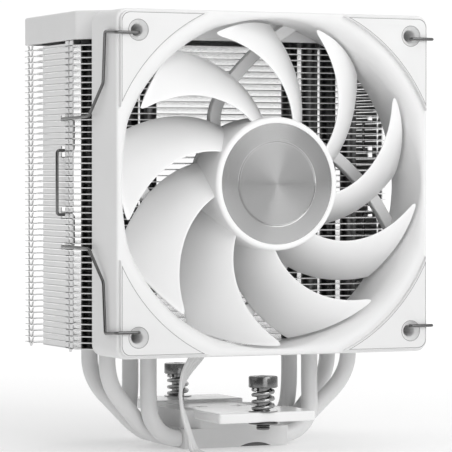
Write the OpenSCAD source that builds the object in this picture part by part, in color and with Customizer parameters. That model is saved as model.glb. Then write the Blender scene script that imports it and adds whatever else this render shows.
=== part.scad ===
// Single-tower CPU air cooler: one 120 mm fan, four heat pipes, a folded fin stack,
// wire fan clips and a two-screw spring mount.
// Origin: centre of the contact face under the base. +Z is up, -Y is the fan side.

/* [Fan] */
// Width and height of the square fan frame
fan_size = 120; // [119:0.5:121]
// Depth of the fan, front pads included
fan_depth = 25; // [24.5:0.1:25.5]
// Height of the fan axis above the contact face
fan_axis_z = 95; // [94:0.5:96]
// Front plane of the fan's corner pads
fan_front_y = -50; // [-50.5:0.1:-49.5]
// Radius of the air duct
duct_r = 57.7; // [57.5:0.1:57.8]
// Inner radius of the front corner pads
pad_arc_r = 64.5; // [64:0.1:65]
// Distance between neighbouring frame holes
hole_pitch = 105; // [104.8:0.1:105.2]
// Radius of the frame holes
hole_r = 2.15; // [2.1:0.05:2.2]
// Thickness of the rubber pads on the front corners
pad_t = 1.6; // [1.2:0.1:1.8]

/* [Impeller] */
// Number of blades
blade_count = 9; // [7:1:9]
// Outer radius of the hub
hub_r = 23.35; // [23.2:0.05:23.5]
// Radius of the blade tips
tip_r = 56.8; // [56:0.1:56.9]
// Radius of the rotor shaft
shaft_r = 1.5; // [1.4:0.05:1.5]
// Play between the shaft and its sleeve, on the radius
shaft_play = 0.03; // [0.02:0.01:0.05]

/* [Fin stack] */
// Number of fins
fin_count = 50; // [20:1:50]
// Distance from one fin to the next
fin_pitch = 2.18; // [2.1:0.01:2.18]
// Thickness of the fin sheet
fin_t = 0.4; // [0.3:0.05:0.5]
// Underside of the lowest fin
fin_z0 = 36.7; // [36.7:0.1:38]
// Half of the stack's width
stack_half_w = 61.5; // [61:0.1:61.5]
// Front edge of the fins
stack_front_y = -24; // [-24:0.1:-23.8]
// Rear edge of the fins
stack_rear_y = 38.6; // [36:0.2:42]
// Height of the top cover's upper face
cover_top_z = 155.85; // [155.5:0.05:156.5]

/* [Heat pipes] */
// Diameter of a pipe
pipe_d = 6; // [5.8:0.1:6]
// Distance of the inner legs from the middle
inner_leg_x = 32; // [31.8:0.1:32.5]
// Distance of the outer legs from the middle
outer_leg_x = 47.9; // [47:0.1:48.2]
// Height of the pipes inside the base
pipe_base_z = 3.6; // [3.5:0.1:4]

/* [Base and mounting] */
// Half of the base's width
base_half_w = 20.6; // [20:0.1:21]
// Half of the base's depth
base_half_d = 15.5; // [15:0.1:16]
// Underside of the mounting bracket
bracket_z = 11; // [11:0.1:11.2]
// Thickness of the mounting bracket
bracket_t = 3.6; // [3.4:0.1:3.8]
// Distance between the two mounting screws
screw_pitch = 76; // [75:0.5:78]

/* [Wire and cable] */
// Radius of the fan clip wire
wire_r = 0.55; // [0.5:0.05:0.55]
// Width of the flat fan cable
cable_w = 5.4; // [5:0.1:5.4]
// Thickness of the flat fan cable
cable_t = 1.3; // [1.2:0.1:1.4]

/* [Hidden] */

$fn = 96;
eps = 0.5;

// Depths inside the fan are counted forwards from the row's Y = 0 plane.
flare = 2.4;
flare_h = 5;
pad_front = -fan_front_y;
frame_front = pad_front - pad_t;
frame_back = pad_front - fan_depth;
stack_front = -stack_front_y;
plate_front = frame_back + 2.2;
strut_front = frame_back + 3.5;
magnet_back = frame_back + 6;
magnet_front = magnet_back + 10;
tube_front = magnet_front - 1;
hub_back = frame_back + 4.7;
hub_front = pad_front - 1;
badge_t = 0.6;
rim_front = pad_front - 0.1;
yoke_wall = 1;
yoke_r = hub_r - 2.15;
magnet_t = 2;
tube_r = 5;
sleeve_r = 4;
groove_r = 1.1;
groove_back = frame_back + 2.5;
groove_len = 0.45;
lead_x = -20.3;
lead_z = strut_front + 0.36;

// The blades grow forwards round the hub, in degrees per millimetre of radius.
blade_root_r = hub_r - 1.2;
blade_steps = 8;
chord_steps = 6;
blade_phase = 31.7;
blade_back = frame_back + 5.1;
blade_front = pad_front - 3.4;
blade_root_t = 2.2;
blade_tip_t = 1.5;

// Fin outline and folded side tabs.
stack_chamfer = 10.5;
tab_t = 0.4;
tab_gap = 0.05;
front_tab_y = -11;
wall_end_y = 18.7;
rear_tab_y = 29;
rear_tab_end_y = 35.1;
recess = 1.2;
latch_drop = 1.2;
pipe_clear = 0.12;
clip_mid_z = fan_axis_z + 0.4;
clip_slot_in = 56.8;
clip_slot_y = [-5.6, -1.3];
clip_window_y = [-5.6, 0.6];
fin_top_z = fin_z0 + (fin_count - 1) * fin_pitch + fin_t;
cover_z0 = fin_top_z + 1.8;
cover_wall = 1.6;
pipe_top_z = fin_top_z + 5.5;

// Pipe legs: where each crosses the fins, and where it runs in the base.
pipe_r = pipe_d / 2;
leg_front_y = -9.5;
leg_rear_y = 7.5;
base_front_outer_y = -3.6;
base_front_inner_y = -10.8;
base_rear_inner_y = 10.8;
base_rear_outer_y = 3.6;
inner_bend_r = 11;
inner_slope = 60;
outer_bend_r = 20;
outer_slope = 47;
outer_slope_len = 12;
inner_slope_len = 0.5;
// Height over which each pipe swings from its row in the base to its row in the fins.
inner_swing_h = 20;
outer_swing_h = 28.8;
pipe_bend_steps = 6;
pipe_sides = 20;
tunnel_clear = 0.08;

// Mounting hardware.
screw_y = screw_pitch / 2;
bracket_top = bracket_z + bracket_t;
neck_top = bracket_top - 1;
wing_half_w = 18.8;
wing_in_y = 19.7;
wing_out_y = 42.2;
neck_half_w = 12.5;
washer_t = 0.35;
spring_z0 = bracket_top + washer_t + 0.05;
spring_z1 = 23.05;
spring_r = 3.5;
spring_wire_r = 0.7;
spring_turns = 3.25;
shank_r = 2.3;
stud_r = 2.5;
groove_neck_r = 1.9;
washer_r = 5.2;
head_r = 5.15;
head_z0 = 23.1;
head_h = 4;
stud_z0 = 7.9;
shoulder_z = 7.2;
foot_notch_x = 7.5;
foot_notch_r = 15;
foot_notch_depth = 1.4;
clip_t = 0.5;
clip_z = bracket_z - clip_t - 0.25;

// Flat fan cable. Each row holds a point and the way across the ribbon.
cable_route = [
  [[-20.3, -28.9, 38.2], [1, 0, 0]],
  [[-20.3, -28.9, 36.4], [1, 0, 0]],
  [[-21.3, -28.9, 34.4], [1, 0.1, 0]],
  [[-23, -28.8, 32.2], [1, 0.2, 0]],
  [[-25.1, -28.4, 29], [1, 0.5, 0]],
  [[-26.5, -28, 25.5], [1, 1.1, 0]],
  [[-27.3, -27.8, 21.5], [1, 2.3, 0]],
  [[-27.1, -27.9, 17.5], [1, 2.2, 0]],
  [[-26.3, -28.5, 13], [1, 1.6, 0]],
  [[-25.6, -29.8, 9], [1, 1.4, 0]],
  [[-25.3, -32, 5.5], [1, 1.4, 0]],
  [[-25.5, -35, 2.8], [1, 1.2, 0]],
  [[-25.9, -39.5, 1.2], [1, 0.6, 0]],
  [[-26.3, -47, 0.75], [1, 0, 0]],
  [[-27.5, -57, 0.75], [1, 0, 0]],
  [[-30, -67, 0.8], [1, 0, 0]],
  [[-33.5, -77, 1.6], [1, 0, 0.3]],
  [[-37.8, -87, 2.5], [1, 0, 0.9]],
  [[-42, -97, 2.9], [0.4, 0, 1]],
  [[-46, -107, 2.8], [0, 0, 1]],
  [[-49, -117, 2.8], [0, 0, 1]],
  [[-50, -126, 2.8], [0, 0, 1]]
];
tail_route = [
  [[-20, -153.6, 2.8], [0, 0, 1]],
  [[-15, -153, 2.8], [0, 0, 1]],
  [[-9.5, -150.5, 2.8], [0, 0, 1]],
  [[-6, -146, 2.8], [0, 0, 1]],
  [[-5, -140, 2.8], [0, 0, 1]],
  [[-5, -134, 2.8], [0, 0, 1]]
];
coil_at = [-20, -126];
coil_r = 29.4;
coil_half_t = 2;
plug_w = 10.2;
plug_l = 11.5;
plug_h = 5.6;
contact_pitch = 2.54;

// Upper half of a fan clip on the right-hand side; heights are from the clip's middle.
clip_arm_x = 62.45;
clip_turn_y = -2.5;
clip_in_x = 57.95;
clip_run_z = 22.6;
clip_grip_z = 11.4;
clip_route = [
  [52.5, -49.9, 51.1],
  [52.5, -50.8, 51.1],
  [61, -50.8, 51.1],
  [61, -40.5, 51.8],
  [61.1, -39, 34.2],
  [62.3, -28.5, clip_run_z + 0.3],
  [clip_arm_x, clip_turn_y, clip_run_z],
  [clip_in_x, clip_turn_y, clip_run_z],
  [clip_in_x, clip_turn_y, clip_grip_z],
  [64.1, clip_turn_y, clip_grip_z]
];

// ---- helpers ----

function unit(v) = v / norm(v);

// A closed loft: rings of equal length, listed along the body. Both ends are closed
// by a strip of triangles from the ring's first point across to its last.
module loft(rings) {
  n = len(rings[0]);
  last = len(rings) - 1;
  points = [for (ring = rings) each ring];
  sides = [
    for (i = [0 : last - 1], j = [0 : n - 1])
      let (a = i * n + j)
      let (b = i * n + (j + 1) % n)
      each [[a, b, b + n], [a, b + n, a + n]]
  ];
  cap = [
    for (j = [0 : n / 2 - 2])
      each [[j, j + 1, n - 1 - j], [j + 1, n - 2 - j, n - 1 - j]]
  ];
  first_cap = [for (t = cap) [t[2], t[1], t[0]]];
  last_cap = [for (t = cap) [t[0] + last * n, t[1] + last * n, t[2] + last * n]];
  polyhedron(points, concat(first_cap, sides, last_cap), convexity = 10);
}

function heading(points, i) =
  unit(points[min(i + 1, len(points) - 1)] - points[max(i - 1, 0)]);

// One eight-sided ring round a point, across being the wide way of the section.
function ring_at(point, along, across, half_w, half_t) =
  let (wide = unit(across - (across * along) * along))
  let (thin = cross(wide, along))
  [for (a = [22.5 : 45 : 359])
    point + wide * half_w * cos(a) / cos(22.5) + thin * half_t * sin(a) / cos(22.5)];

// A tube swept along points; ways gives the wide way of the section at each point.
module tube(points, ways, half_w, half_t) {
  loft([for (i = [0 : len(points) - 1])
    ring_at(points[i], heading(points, i), ways[i], half_w, half_t)]);
}

// Every inner corner of a path becomes a short curve that starts reach before it.
function rounded(points, reach, steps = 4) = concat(
  [points[0]],
  [for (i = [1 : len(points) - 2])
    let (before = points[i] + unit(points[i - 1] - points[i]) * reach)
    let (after = points[i] + unit(points[i + 1] - points[i]) * reach)
    for (k = [0 : steps])
      let (t = k / steps)
      before * (1 - t) ^ 2 + points[i] * 2 * t * (1 - t) + after * t ^ 2],
  [points[len(points) - 1]]
);

module wire(points, reach) {
  path = rounded(points, reach);
  tube(path, [for (p = path) [1, 0.5, 0.4]], wire_r, wire_r);
}

// Local frame of the fan: x right, y up and z forwards, with z = -Y of the row.
module in_fan() {
  translate([0, 0, fan_axis_z]) rotate([90, 0, 0]) children();
}

module disc(r, from, to) {
  translate([0, 0, from]) cylinder(r = r, h = to - from);
}

module ring(r_in, r_out, from, to) {
  difference() {
    disc(r_out, from, to);
    disc(r_in, from - eps, to + eps);
  }
}

module both_sides() {
  children();
  mirror([1, 0, 0]) children();
}

module rounded_square(size, r) {
  half = size / 2;
  union() {
    square([size, size - 2 * r], center = true);
    square([size - 2 * r, size], center = true);
    for (x = [-1, 1], y = [-1, 1])
      translate([x * (half - r), y * (half - r)]) circle(r);
  }
}

module at_frame_holes() {
  for (x = [-1, 1], y = [-1, 1])
    translate([x, y, 0] * hole_pitch / 2) children();
}

// ---- fan, standing parts ----

// The flare from the front face into the duct, as a solid to cut away.
module bell_mouth() {
  translate([0, 0, frame_front - flare_h])
    cylinder(r1 = duct_r, r2 = duct_r + flare, h = flare_h);
  disc(duct_r + flare, frame_front - 0.01, frame_front + eps);
}

function side_point(line, i, offset) =
  let (along = heading(line, i))
  line[i] + offset * [-along[1], along[0]];

// An arm that sweeps back as it goes outwards, as [radius, angle] along its middle.
strut_bends = [[19, 46.2], [30, 26.6], [36, 14], [43, 2], [50, -7], [59.5, -17]];

module strut() {
  half_w = 2.1;
  line = [for (b = strut_bends) b[0] * [cos(b[1]), sin(b[1])]];
  last = len(line) - 1;
  translate([0, 0, frame_back]) linear_extrude(strut_front - frame_back)
    polygon(concat(
      [for (i = [0 : last]) side_point(line, i, half_w)],
      [for (i = [last : -1 : 0]) side_point(line, i, -half_w)]
    ));
}

module fan_frame() {
  color("white") in_fan() {
    difference() {
      union() {
        difference() {
          translate([0, 0, frame_back])
            linear_extrude(frame_front - frame_back) rounded_square(fan_size, 4);
          disc(duct_r, frame_back - eps, frame_front + eps);
        }
        intersection() {
          for (i = [0 : 3]) rotate([0, 0, 90 * i]) strut();
          disc(duct_r + 0.2, frame_back, strut_front);
        }
        disc(hub_r - 0.35, frame_back, plate_front);
        disc(tube_r, plate_front - 0.2, tube_front);
      }
      bell_mouth();
      disc(sleeve_r, frame_back - eps, tube_front + eps);
      at_frame_holes() disc(hole_r, frame_back - eps, frame_front + eps);
      translate([lead_x - 3.9, -fan_size / 2 - eps, frame_back - eps])
        cube([7.3, 8, 5 + eps]);
    }
  }
}

module front_corner_pads() {
  color("whitesmoke") in_fan() difference() {
    translate([0, 0, frame_front]) linear_extrude(pad_t) rounded_square(fan_size - 2, 3);
    disc(pad_arc_r, frame_front - eps, pad_front + eps);
    at_frame_holes() {
      disc(hole_r, frame_front - eps, pad_front + eps);
      translate([0, 0, pad_front - 1.45])
        cylinder(r1 = hole_r, r2 = hole_r + 1.45, h = 1.45);
      disc(hole_r + 1.45, pad_front, pad_front + eps);
    }
  }
}

module rear_corner_pads() {
  pad = 13;
  color("whitesmoke") in_fan() difference() {
    for (x = [-1, 1], y = [-1, 1])
      translate([x * (fan_size / 2 - 1 - pad / 2), y * (fan_size / 2 - 1 - pad / 2),
                 stack_front])
        linear_extrude(frame_back - stack_front) rounded_square(pad, 3);
    at_frame_holes() disc(hole_r, stack_front - eps, frame_back + eps);
  }
}

module sleeve_bearing() {
  color("goldenrod") in_fan()
    ring(shaft_r + shaft_play, sleeve_r - 0.02, groove_back + 0.9, tube_front - 0.5);
}

module bearing_cap() {
  color("white") in_fan() disc(sleeve_r - 0.02, frame_back, frame_back + 1.2);
}

module stator_core() {
  outer = yoke_r - yoke_wall - magnet_t - 0.7;
  color("dimgray") in_fan() translate([0, 0, magnet_back + 1]) linear_extrude(7)
    difference() {
      union() {
        circle(8);
        intersection() {
          union() {
            for (a = [0, 90]) rotate(a) square([2 * outer, 5], center = true);
            for (a = [0 : 90 : 270]) rotate(a)
              intersection() {
                difference() {
                  circle(outer);
                  circle(outer - 2.2);
                }
                polygon([[0, 0], [30, 24], [30, -24]]);
              }
          }
          circle(outer);
        }
      }
      circle(tube_r + 0.05);
    }
}

module stator_windings() {
  color("peru") in_fan() for (a = [0 : 90 : 270]) rotate([0, 0, a])
    translate([8.7, 0, magnet_back + 4.5]) difference() {
      translate([0, -4.4, -5.2]) cube([4.8, 8.8, 10.4]);
      translate([-eps, -2.6, -3.6]) cube([4.8 + 2 * eps, 5.2, 7.2]);
    }
}

module fan_circuit_board() {
  color("darkgreen") in_fan() ring(tube_r + 0.1, 15.5, plate_front + 0.4, plate_front + 1.2);
}

// The lead from the board to the slot in the frame, laid along the lower strut.
module strut_lead() {
  along = [for (i = [0 : 3]) let (b = strut_bends[i]) b[0] * [sin(b[1]), -cos(b[1])]];
  path = concat([[10.5, -10]], along, [[-7, -47.6], [-15.5, -49.2], [lead_x, -52.6], [lead_x, -56.8]]);
  points = [for (p = path) [p[0], p[1], lead_z]];
  flat = [for (i = [0 : len(points) - 1])
    let (way = heading(points, i)) [way[1], -way[0], 0]];
  color("white") in_fan() tube(points, flat, 1.8, 0.34);
}

// ---- fan, turning parts ----

function blade_sweep(r) = 1.03 * (r - hub_r) + 0.0075 * (r - hub_r) ^ 2;
function blade_span(r) = 27 + 0.0127 * (r - 39) ^ 2;
function blade_depth(t) = t - 0.1 * sin(180 * t);
function blade_point(r, t, side) =
  let (angle = blade_sweep(r) - blade_span(r) * t)
  let (share = (r - blade_root_r) / (tip_r - blade_root_r))
  let (full = blade_root_t + (blade_tip_t - blade_root_t) * share)
  let (half = full / 2 * (0.35 + 0.65 * sin(180 * t)))
  [r * cos(angle), r * sin(angle),
   blade_front - (blade_front - blade_back) * blade_depth(t) + side * half];

function blade_ring(r) = concat(
  [for (j = [0 : chord_steps]) blade_point(r, j / chord_steps, -1)],
  [for (j = [chord_steps : -1 : 0]) blade_point(r, j / chord_steps, 1)]
);

module blade() {
  loft([for (i = [0 : blade_steps])
    blade_ring(blade_root_r + (tip_r - blade_root_r) * i / blade_steps)]);
}

module impeller() {
  rim_r = 1.2;
  color("white") in_fan() union() {
    rotate_extrude() difference() {
      translate([0, hub_back]) union() {
        square([hub_r, rim_front - rim_r - hub_back]);
        square([hub_r - rim_r, rim_front - hub_back]);
        translate([hub_r - rim_r, rim_front - rim_r - hub_back]) circle(rim_r);
      }
      translate([-eps, hub_back - eps])
        square([yoke_r + 0.1 + eps, hub_front - 1.6 - hub_back + eps]);
      translate([-eps, hub_front]) square([22.15 + eps, 3]);
    }
    ring(shaft_r, sleeve_r, magnet_front + 3.1, hub_front - 1.5);
    for (i = [0 : blade_count - 1])
      rotate([0, 0, blade_phase + 360 / blade_count * i]) blade();
  }
}

module hub_badge() {
  color("silver") in_fan() disc(22.1, hub_front, hub_front + badge_t);
}

module rotor_yoke() {
  color("slategray") in_fan() difference() {
    disc(yoke_r, magnet_back, magnet_front + 3);
    disc(yoke_r - yoke_wall, magnet_back - eps, magnet_front + 2);
    disc(shaft_r, magnet_front, magnet_front + 4);
  }
}

module rotor_magnet() {
  outer = yoke_r - yoke_wall;
  color("black") in_fan() ring(outer - magnet_t, outer, magnet_back, magnet_front);
}

module fan_shaft() {
  color("lightgray") in_fan() difference() {
    disc(shaft_r, frame_back + 1.6, hub_front - 1.7);
    ring(groove_r, shaft_r + eps, groove_back, groove_back + groove_len);
  }
}

module shaft_clip() {
  color("gainsboro") in_fan()
    ring(groove_r + 0.03, 2.6, groove_back + 0.04, groove_back + groove_len - 0.04);
}

// ---- fin stack and cover ----

module stack_outline(rear = stack_rear_y) {
  w = stack_half_w;
  c = stack_chamfer;
  polygon([
    [-w + c, stack_front_y], [w - c, stack_front_y], [w, stack_front_y + c],
    [w, rear - 1], [w - 1, rear], [-w + 1, rear], [-w, rear - 1], [-w, stack_front_y + c]
  ]);
}

module leg_circles(r) {
  for (x = [-1, 1], y = [leg_front_y, leg_rear_y], leg = [inner_leg_x, outer_leg_x])
    translate([x * leg, y]) circle(r);
}

// Cuts on one side of a fin: the inner edge beside the wall, and the clip's channel.
module fin_side_cuts() {
  w = stack_half_w;
  translate([w - recess, wall_end_y]) square([recess + 1, rear_tab_y - wall_end_y]);
  translate([clip_slot_in, clip_slot_y[0]])
    square([w - tab_t - clip_slot_in - 0.4, clip_slot_y[1] - clip_slot_y[0]]);
}

module fin_sheet() {
  difference() {
    stack_outline();
    both_sides() fin_side_cuts();
    leg_circles(pipe_r + pipe_clear);
  }
}

// Whether the band from low to high meets one of the clip's four turns.
function meets_clip(low, high) = len([
  for (turn = [clip_run_z, clip_grip_z], side = [-1, 1])
    let (z = clip_mid_z + side * turn)
    if (low < z + 1 && high > z - 1) 1
]) > 0;

module side_tab(z0, z1, from, to) {
  translate([stack_half_w - tab_t, from, z0]) cube([tab_t, to - from, z1 - z0]);
}

module fin(i) {
  z = fin_z0 + i * fin_pitch;
  tab_top = z + fin_pitch - tab_gap;
  opened = meets_clip(z, tab_top);
  difference() {
    union() {
      translate([0, 0, z]) linear_extrude(fin_t) fin_sheet();
      both_sides() {
        side_tab(z, tab_top, front_tab_y, wall_end_y);
        side_tab(z, tab_top, rear_tab_y, rear_tab_end_y);
        if (i == 0) bottom_latches();
      }
    }
    if (opened) both_sides()
      translate([clip_slot_in, clip_window_y[0], z - eps])
        cube([10, clip_window_y[1] - clip_window_y[0], fin_pitch + 2 * eps]);
  }
}

module cooling_fins() {
  color("white") for (i = [0 : fin_count - 1]) fin(i);
}

// Locking hooks that show below the lowest fin.
module bottom_latches() {
  for (y = [front_tab_y + 1, rear_tab_y + 1])
    side_tab(fin_z0 - latch_drop, fin_z0 + 1, y, y + 3);
}

module top_cover() {
  color("white") difference() {
    translate([0, 0, cover_z0]) linear_extrude(cover_top_z - cover_z0) stack_outline();
    translate([0, 0, cover_z0 - eps])
      linear_extrude(cover_top_z - cover_z0 - 2 + eps) difference() {
        w = stack_half_w - cover_wall;
        c = stack_chamfer;
        polygon([
          [-w + c, stack_front_y + cover_wall], [w - c, stack_front_y + cover_wall],
          [w, stack_front_y + cover_wall + c], [w, stack_rear_y - cover_wall],
          [-w, stack_rear_y - cover_wall], [-w, stack_front_y + cover_wall + c]
        ]);
      }
  }
}

// ---- heat pipes ----

// The middle line of half a pipe as [out, up] points: a flat run, a bend, a slope,
// a bend and an upright leg.
function arc(centre, r, from, to, steps) =
  [for (k = [0 : steps])
    let (angle = from + (to - from) * k / steps)
    centre + r * [cos(angle), sin(angle)]];

function half_pipe_line(reach, slope, slope_len, bend) =
  let (start = reach - bend - slope_len * cos(slope))
  let (slope_end = [start + bend * sin(slope) + slope_len * cos(slope),
                    bend * (1 - cos(slope)) + slope_len * sin(slope)])
  let (high = slope_end + bend * [-sin(slope), cos(slope)])
  let (down = slope_len / 3 * [cos(slope), sin(slope)])
  concat(
    arc([start, bend], bend, -90, slope - 90, pipe_bend_steps),
    [if (slope_len > 3) each [slope_end - 2 * down, slope_end - down]],
    arc(high, bend, slope - 90, 0, pipe_bend_steps),
    [for (h = [14 : 3 : 20]) if (h > high[1]) [reach, h]],
    [[reach, pipe_top_z - pipe_base_z - 1.2]]
  );

// Rises softly from 0 to 1.
function soft(t) = let (u = min(t, 1)) u * u * (3 - 2 * u);

module heat_pipe(base_y, leg_y, leg_x, slope, slope_len, bend, swing_h) {
  line = half_pipe_line(leg_x, slope, slope_len, bend);
  right = [for (p = line)
    [p[0], base_y + (leg_y - base_y) * soft(p[1] / swing_h), pipe_base_z + p[1]]];
  left = [for (i = [len(right) - 1 : -1 : 0])
    [-right[i][0], right[i][1], right[i][2]]];
  path = concat(left, right);
  last = len(path) - 1;
  tip = [0, 0, 1.2];
  color("white") loft(concat(
    [pipe_ring(path, 0, 0.45, tip)],
    [for (i = [0 : last]) pipe_ring(path, i, 1, [0, 0, 0])],
    [pipe_ring(path, last, 0.45, tip)]
  ));
}

// One ring of a pipe; share narrows it and lift moves it, for the pinched tips.
function pipe_ring(path, i, share, lift) =
  let (along = heading(path, i))
  let (wide = unit([0, 1, 0] - along[1] * along))
  let (thin = cross(wide, along))
  [for (k = [0 : pipe_sides - 1])
    let (a = 360 / pipe_sides * (k + 0.5))
    path[i] + lift + share * pipe_r * (wide * cos(a) + thin * sin(a))];

module outer_pipe(base_y, leg_y) {
  heat_pipe(base_y, leg_y, outer_leg_x, outer_slope, outer_slope_len, outer_bend_r,
    outer_swing_h);
}

module inner_pipe(base_y, leg_y) {
  heat_pipe(base_y, leg_y, inner_leg_x, inner_slope, inner_slope_len, inner_bend_r,
    inner_swing_h);
}

module front_outer_heat_pipe() { outer_pipe(base_front_outer_y, leg_front_y); }
module front_inner_heat_pipe() { inner_pipe(base_front_inner_y, leg_front_y); }
module rear_inner_heat_pipe() { inner_pipe(base_rear_inner_y, leg_rear_y); }
module rear_outer_heat_pipe() { outer_pipe(base_rear_outer_y, leg_rear_y); }

// ---- base and mounting ----

module tunnel(base_y) {
  translate([0, base_y, pipe_base_z]) rotate([0, 90, 0])
    cylinder(r = pipe_r + tunnel_clear, h = 2 * base_half_w + 2, center = true);
}

// The upper block has cut corners and a channel for the bracket's neck.
module upper_block() {
  w = 20;
  corner = [6, 5];
  d = base_half_d;
  difference() {
    translate([0, 0, shoulder_z]) linear_extrude(neck_top - shoulder_z) polygon([
      [w, -d + corner[1]], [w, d - corner[1]], [w - corner[0], d], [-w + corner[0], d],
      [-w, d - corner[1]], [-w, -d + corner[1]], [-w + corner[0], -d], [w - corner[0], -d]
    ]);
    translate([-neck_half_w - 0.05, -d - eps, bracket_z])
      cube([2 * neck_half_w + 0.1, 2 * d + 2 * eps, 5]);
  }
}

module base_block() {
  color("white") difference() {
    union() {
      translate([-base_half_w, -base_half_d, 0])
        cube([2 * base_half_w, 2 * base_half_d, shoulder_z]);
      upper_block();
    }
    for (y = [base_front_outer_y, base_rear_outer_y, base_front_inner_y, base_rear_inner_y])
      tunnel(y);
    for (x = [-1, 1]) translate([x * 8, 0, shoulder_z + 0.3]) cylinder(r = 1.25, h = 6);
    translate([foot_notch_x, -base_half_d - eps, 1.5 - foot_notch_r]) rotate([-90, 0, 0])
      cylinder(r = foot_notch_r, h = foot_notch_depth + eps);
  }
}

// One wing of the bracket, with soft corners, from the block's face outwards.
module wing_outline() {
  c = 1.5;
  w = wing_half_w;
  polygon([
    [-w, wing_in_y], [w, wing_in_y], [w, wing_out_y - c], [w - c, wing_out_y],
    [-w + c, wing_out_y], [-w, wing_out_y - c]
  ]);
}

module mounting_bracket() {
  color("white") difference() {
    translate([0, 0, bracket_z]) union() {
      translate([-neck_half_w, -wing_in_y - 0.1, 0])
        cube([2 * neck_half_w, 2 * wing_in_y + 0.2, neck_top - bracket_z]);
      for (m = [0, 1]) mirror([0, m, 0]) linear_extrude(bracket_t) wing_outline();
    }
    for (y = [-1, 1]) translate([0, y * screw_y, bracket_z - eps])
      cylinder(r = stud_r + 0.1, h = bracket_t + 2 * eps);
    for (x = [-1, 1]) translate([x * 8, 0, bracket_z - eps]) {
      cylinder(r = 1.6, h = bracket_t + 2 * eps);
      translate([0, 0, eps + neck_top - bracket_z - 1.6]) cylinder(r1 = 1.6, r2 = 3.1, h = 1.6);
    }
  }
}

module bracket_screws() {
  color("silver") for (x = [-1, 1]) translate([x * 8, 0, 0]) difference() {
    union() {
      translate([0, 0, bracket_z - 3]) cylinder(r = 1.2, h = 3 + neck_top - bracket_z - 1.5);
      translate([0, 0, neck_top - 1.55]) cylinder(r1 = 1.45, r2 = 2.9, h = 1.5);
    }
    for (a = [0, 90]) rotate([0, 0, a])
      translate([-1.5, -0.3, neck_top - 0.9]) cube([3, 0.6, 1]);
  }
}

module spring_washers() {
  color("silver") for (y = [-1, 1]) translate([0, y * screw_y, bracket_top]) difference() {
    cylinder(r = washer_r, h = washer_t);
    translate([0, 0, -eps]) cylinder(r = stud_r + 0.15, h = 1 + eps);
  }
}

module screw_spring(y) {
  steps = 12;
  last = spring_turns * steps;
  low = spring_z0 + spring_wire_r;
  high = spring_z1 - spring_wire_r;
  points = [for (i = [0 : last])
    [spring_r * cos(360 / steps * i), y + spring_r * sin(360 / steps * i),
     low + (high - low) * i / last]];
  color("silver") tube(points, [for (p = points) [0, 0, 1]], spring_wire_r, spring_wire_r);
}

module retaining_clip(y) {
  color("dimgray") translate([0, y, clip_z]) difference() {
    cylinder(r = washer_r, h = clip_t);
    translate([0, 0, -eps]) cylinder(r = groove_neck_r + 0.05, h = clip_t + 2 * eps);
    translate([-1.2, 0, -eps]) cube([2.4, 6, clip_t + 2 * eps]);
  }
}

// A shoulder screw: head, plain shank, groove for the retaining clip and threaded end.
module mounting_screw(y) {
  groove_z0 = clip_z - 0.07;
  groove_z1 = clip_z + clip_t + 0.07;
  color("gray") translate([0, y, 0]) difference() {
    union() {
      translate([0, 0, stud_z0]) cylinder(r = stud_r, h = groove_z0 - stud_z0);
      translate([0, 0, stud_z0]) cylinder(r = groove_neck_r, h = groove_z1 - stud_z0 + 0.1);
      translate([0, 0, groove_z1]) cylinder(r = shank_r, h = head_z0 - groove_z1 + 0.2);
      translate([0, 0, head_z0]) cylinder(r = head_r, h = head_h);
    }
    for (a = [0, 90]) rotate([0, 0, a])
      translate([-2.6, -0.6, head_z0 + head_h - 1.8]) cube([5.2, 1.2, 2]);
  }
}

module front_screw_spring() { screw_spring(-screw_y); }
module rear_screw_spring() { screw_spring(screw_y); }
module front_retaining_clip() { retaining_clip(-screw_y); }
module rear_retaining_clip() { retaining_clip(screw_y); }
module front_mounting_screw() { mounting_screw(-screw_y); }
module rear_mounting_screw() { mounting_screw(screw_y); }

// ---- fan clips ----

module fan_clip(side) {
  upper = [for (p = clip_route) [side * p[0], p[1], clip_mid_z + p[2]]];
  lower = [for (i = [len(clip_route) - 1 : -1 : 0])
    let (p = clip_route[i])
    [side * p[0], p[1], clip_mid_z - p[2]]];
  color("silver") {
    wire(concat(upper, lower), 0.6);
    for (z = [clip_grip_z, -clip_run_z])
      translate([side * clip_in_x, clip_turn_y, clip_mid_z + z + 0.8])
        cylinder(r = wire_r * 1.12, h = clip_run_z - clip_grip_z - 1.6);
  }
}

module left_fan_clip() { fan_clip(-1); }
module right_fan_clip() { fan_clip(1); }

// ---- fan cable ----

module ribbon(route) {
  tube([for (row = route) row[0]], [for (row = route) row[1]], cable_w / 2, cable_t / 2);
}

module fan_cable() { color("white") ribbon(cable_route); }

module cable_tail() { color("white") ribbon(tail_route); }

module cable_coil() {
  color("white") translate([coil_at[0], coil_at[1], 0.05])
    ring(coil_r - coil_half_t, coil_r + coil_half_t, 0, cable_w + 0.05);
}

module at_contacts() {
  for (i = [-1.5 : 1 : 1.5]) translate([i * contact_pitch, 0, 0]) children();
}

module cable_connector() {
  color("white") translate([-5, -134, 0.05]) difference() {
    translate([-plug_w / 2, 0, 0]) cube([plug_w, plug_l, plug_h]);
    at_contacts() translate([-0.9, -eps, plug_h / 2 - 0.9])
      cube([1.8, plug_l + 2 * eps, 1.8]);
    translate([-2, plug_l - 3, plug_h - 0.8]) cube([4, 3 + eps, 1]);
  }
}

module connector_contacts() {
  color("gold") translate([-5, -134, 0.05]) at_contacts()
    translate([-0.7, 1.5, plug_h / 2 - 0.7]) difference() {
      cube([1.4, plug_l - 2.5, 1.4]);
      translate([0.4, 4, 0.4]) cube([0.6, plug_l, 0.6]);
    }
}

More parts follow.
